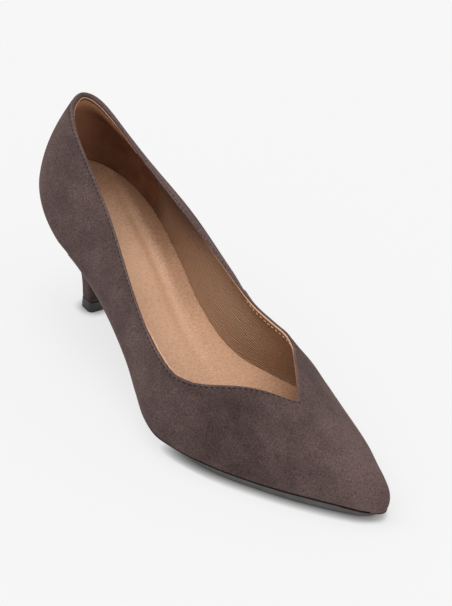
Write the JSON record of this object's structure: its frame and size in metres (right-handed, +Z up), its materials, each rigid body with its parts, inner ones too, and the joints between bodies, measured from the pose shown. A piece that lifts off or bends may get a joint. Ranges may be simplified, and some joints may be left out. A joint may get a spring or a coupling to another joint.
{
  "type": "stiletto pump",
  "caption": "Pointed-toe court shoe with a low heart-shaped throat, hollow suede upper, thin arched sole and slim covered heel with a black top piece.",
  "frame": {"origin": "on the floor under the middle of the shoe's outline box", "axes": "+Z up from the floor, -Y towards the toe, +X towards the big-toe side"},
  "size_m": [0.0854, 0.2374, 0.1084],
  "materials": {
    "suede": "napped taupe-brown suede",
    "lining_leather": "smooth tan leather",
    "sole_rubber": "matt near-black",
    "top_piece_rubber": "satin black"
  },
  "bodies": {
    "root": {"upper": "suede", "insole": "lining_leather", "outsole": "sole_rubber", "heel": "suede", "heel_tip": "top_piece_rubber"}
  },
  "joints": []
}
